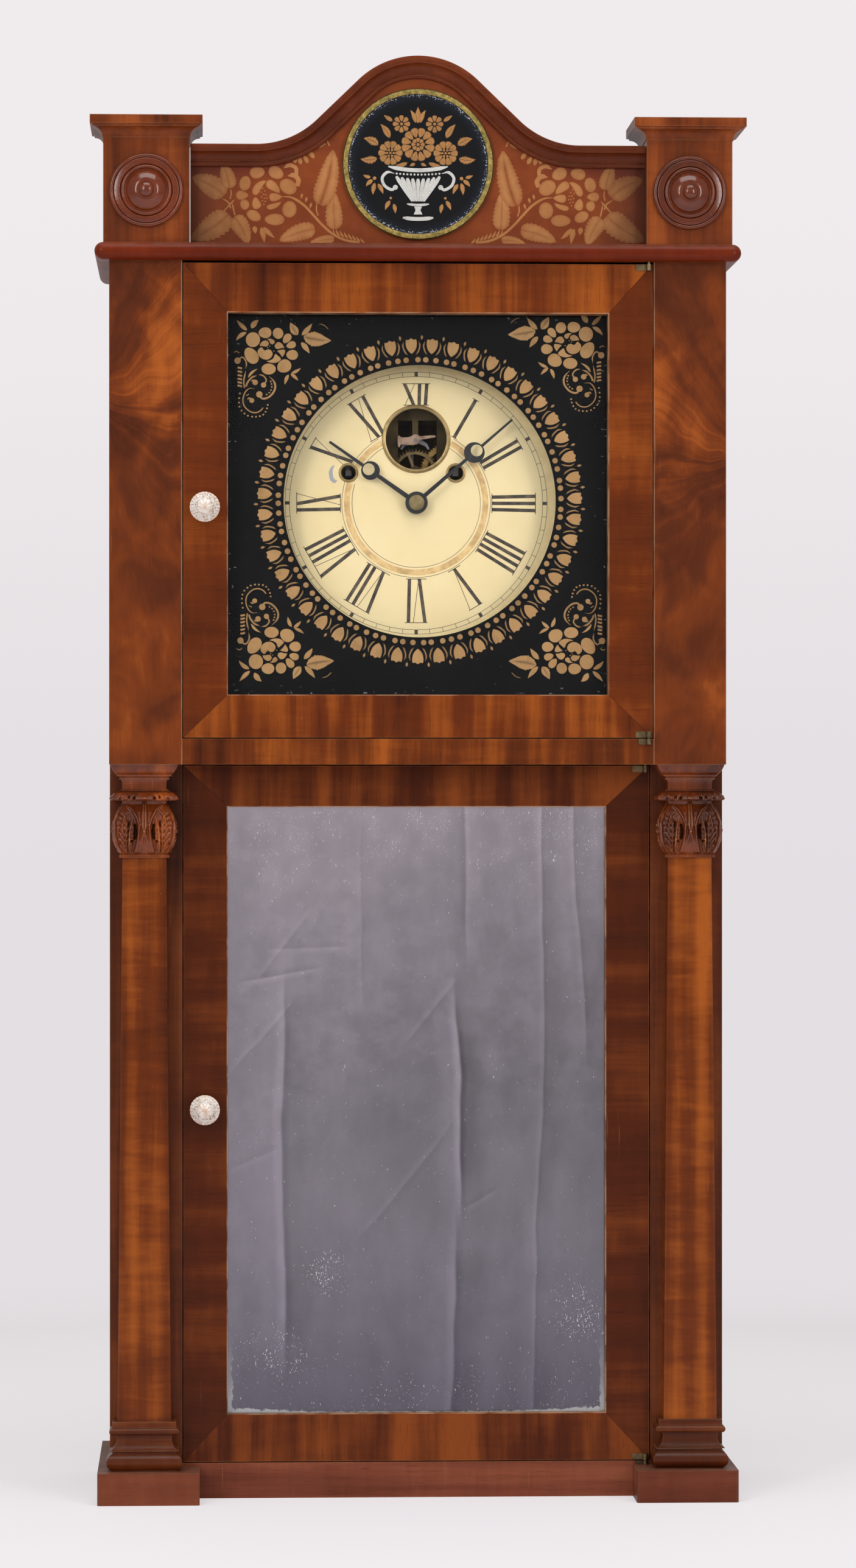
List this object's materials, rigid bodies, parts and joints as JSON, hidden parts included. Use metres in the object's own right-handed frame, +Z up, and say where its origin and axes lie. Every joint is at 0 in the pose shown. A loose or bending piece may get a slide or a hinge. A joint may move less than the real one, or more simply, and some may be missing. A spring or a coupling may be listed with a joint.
{
  "type": "shelf clock",
  "caption": "Weight-driven column shelf clock with an ogee-arched crest, glazed dial door, looking-glass lower door, carved half columns, pressed-glass knobs and a brass movement.",
  "frame": {"origin": "middle of the bounding box at the underside of the plinths", "axes": "+Z up, -Y towards the dial's viewer, +X to the viewer's right"},
  "size_m": [0.45, 0.194, 0.994],
  "materials": {
    "veneer": "figured mahogany veneer under aged shellac",
    "case_wood": "plain stained mahogany, worn",
    "plinth_wood": "faded red mahogany",
    "carved_wood": "carved mahogany with wax in the hollows",
    "cornice_wood": "dark red mahogany",
    "pine": "bare aged pine",
    "drum_wood": "turned maple with wound cord",
    "crest_paint": "terracotta ground with bronze stencilling",
    "roundel_paint": "black ground, white urn with bronze flowers and gilt rim",
    "dial_paint": "aged cream paint with black numerals",
    "ivory_paint": "worn flesh-coloured paint",
    "hand_paint": "black japanned steel",
    "glass_paint": "black and gilt paint on the back of the glass",
    "window_glass": "old window glass",
    "knob_glass": "pressed lacy glass",
    "silvering": "aged, foxed silvering",
    "brass": "tarnished brass",
    "steel": "blued steel, worn",
    "iron": "rough cast iron",
    "cord": "twisted cotton cord"
  },
  "bodies": {
    "case": {"backboard": "pine", "side_boards": "case_wood", "case_boards": "pine", "upper_posts": "veneer", "lower_stiles": "veneer", "front_rails": "veneer", "plinths": "plinth_wood", "column_bases": "veneer", "column_shafts": "veneer", "column_capitals": "carved_wood", "cornice": "cornice_wood", "crest_blocks": "veneer", "rosettes": "cornice_wood", "crest_panel": "crest_paint", "crest_moulding": "cornice_wood", "crest_roundel": "roundel_paint", "dial_plate": "dial_paint", "dial_battens": "pine", "dial_bezels": "brass", "case_hinges": "brass", "front_plate": "brass", "back_plate": "brass", "bell": "iron", "pulley_brackets": "brass", "cord_runs": "cord"},
    "upper_door": {"upper_door_frame": "veneer", "upper_door_glass": "window_glass", "glass_painting": "glass_paint", "upper_door_hinges": "brass"},
    "upper_catch": {"upper_knob": "knob_glass", "upper_latch": "steel"},
    "lower_door": {"lower_door_frame": "veneer", "mirror_glass": "silvering", "mirror_back": "pine", "lower_door_hinges": "brass"},
    "lower_catch": {"lower_knob": "knob_glass", "lower_latch": "steel"},
    "minute": {"minute_hand": "hand_paint", "centre_arbor": "brass"},
    "hour": {"hour_hand": "hand_paint", "hour_wheel": "brass"},
    "minute_work": {"minute_wheel": "brass"},
    "second": {"second_wheel": "brass"},
    "time_great": {"time_great_wheel": "brass"},
    "third": {"third_wheel": "brass"},
    "escape": {"escape_wheel": "brass"},
    "anchor": {"verge": "steel", "pointing_hand": "ivory_paint"},
    "pendulum": {"pendulum_rod": "steel", "pendulum_bob": "brass"},
    "time_load": {"time_weight": "iron", "time_cord_drop": "cord"},
    "time_barrel": {"time_drum": "drum_wood"},
    "time_sheave": {"time_pulley": "brass"},
    "strike_load": {"strike_weight": "iron", "strike_cord_drop": "cord"},
    "strike_barrel": {"strike_drum": "drum_wood"},
    "strike_sheave": {"strike_pulley": "brass"},
    "strike_great": {"strike_great_wheel": "brass"},
    "striker": {"hammer": "iron"}
  },
  "joints": [
    {"name": "upper_door_swing", "type": "hinge", "parent": "case", "child": "upper_door", "pos_m": [0.1585, -0.0772, 0.688], "axis": [0, 0, 1], "range_deg": [0, 165]},
    {"name": "upper_knob_turn", "type": "hinge", "parent": "upper_door", "child": "upper_catch", "pos_m": [-0.1465, -0.075, 0.683], "axis": [0, 1, 0], "range_deg": [0, 90]},
    {"name": "lower_door_swing", "type": "hinge", "parent": "case", "child": "lower_door", "pos_m": [0.1585, -0.0492, 0.265], "axis": [0, 0, 1], "range_deg": [0, 98]},
    {"name": "lower_knob_turn", "type": "hinge", "parent": "lower_door", "child": "lower_catch", "pos_m": [-0.1465, -0.047, 0.269], "axis": [0, 1, 0], "range_deg": [0, 90]},
    {"name": "minute_turn", "type": "hinge", "parent": "case", "child": "minute", "pos_m": [0, -0.04, 0.6885], "axis": [0, 1, 0], "continuous": true},
    {"name": "hour_turn", "type": "hinge", "parent": "case", "child": "hour", "pos_m": [0, -0.04, 0.6885], "axis": [0, 1, 0], "continuous": true},
    {"name": "minute_wheel_turn", "type": "hinge", "parent": "case", "child": "minute_work", "pos_m": [0, -0.025, 0.6765], "axis": [0, 1, 0], "continuous": true},
    {"name": "second_wheel_turn", "type": "hinge", "parent": "case", "child": "second", "pos_m": [0.01956, 0, 0.6843], "axis": [0, 1, 0], "continuous": true},
    {"name": "time_great_turn", "type": "hinge", "parent": "case", "child": "time_great", "pos_m": [0.0275, 0, 0.7095], "axis": [0, 1, 0], "continuous": true},
    {"name": "third_wheel_turn", "type": "hinge", "parent": "case", "child": "third", "pos_m": [-0.0157, 0, 0.7009], "axis": [0, 1, 0], "continuous": true},
    {"name": "escape_turn", "type": "hinge", "parent": "case", "child": "escape", "pos_m": [0, 0, 0.711], "axis": [0, 1, 0], "continuous": true},
    {"name": "pendulum_swing", "type": "hinge", "parent": "case", "child": "pendulum", "pos_m": [0, 0.036, 0.733], "axis": [0, 1, 0], "range_deg": [-3, 3]},
    {"name": "verge_rock", "type": "hinge", "parent": "case", "child": "anchor", "pos_m": [0, 0, 0.733], "axis": [0, 1, 0], "range_deg": [-3, 3]},
    {"name": "time_weight_lift", "type": "slide", "parent": "case", "child": "time_load", "axis": [0, 0, 1], "range_m": [0, 0.36], "deforming": ["time_cord_drop"]},
    {"name": "time_drum_turn", "type": "hinge", "parent": "case", "child": "time_barrel", "pos_m": [0.0275, 0, 0.7095], "axis": [0, 1, 0], "range_deg": [-1660, 0]},
    {"name": "time_pulley_turn", "type": "hinge", "parent": "case", "child": "time_sheave", "pos_m": [0.15, 0.007, 0.818], "axis": [0, 1, 0], "range_deg": [-1320, 0]},
    {"name": "strike_weight_lift", "type": "slide", "parent": "case", "child": "strike_load", "axis": [0, 0, 1], "range_m": [0, 0.36], "deforming": ["strike_cord_drop"]},
    {"name": "strike_drum_turn", "type": "hinge", "parent": "case", "child": "strike_barrel", "pos_m": [-0.047, 0, 0.7095], "axis": [0, 1, 0], "range_deg": [0, 1660]},
    {"name": "strike_pulley_turn", "type": "hinge", "parent": "case", "child": "strike_sheave", "pos_m": [-0.15, 0.007, 0.818], "axis": [0, 1, 0], "range_deg": [0, 1320]},
    {"name": "strike_great_turn", "type": "hinge", "parent": "case", "child": "strike_great", "pos_m": [-0.047, 0, 0.7095], "axis": [0, 1, 0], "continuous": true},
    {"name": "hammer_lift", "type": "hinge", "parent": "case", "child": "striker", "pos_m": [-0.062, 0.03, 0.668], "axis": [0, 1, 0], "range_deg": [0, 12]}
  ],
  "couplings": [
    {"joint": "hour_turn", "follows": "minute_turn", "ratio": 0.083333},
    {"joint": "minute_wheel_turn", "follows": "minute_turn", "ratio": -0.33333},
    {"joint": "second_wheel_turn", "follows": "minute_turn", "ratio": -0.25},
    {"joint": "time_great_turn", "follows": "minute_turn", "ratio": 0.027778},
    {"joint": "third_wheel_turn", "follows": "minute_turn", "ratio": -8},
    {"joint": "escape_turn", "follows": "minute_turn", "ratio": 60},
    {"joint": "verge_rock", "follows": "pendulum_swing", "ratio": 1},
    {"joint": "time_drum_turn", "follows": "time_weight_lift", "rad_per_m": -80},
    {"joint": "time_pulley_turn", "follows": "time_weight_lift", "rad_per_m": -63.29},
    {"joint": "strike_drum_turn", "follows": "strike_weight_lift", "rad_per_m": 80},
    {"joint": "strike_pulley_turn", "follows": "strike_weight_lift", "rad_per_m": 63.29}
  ]
}
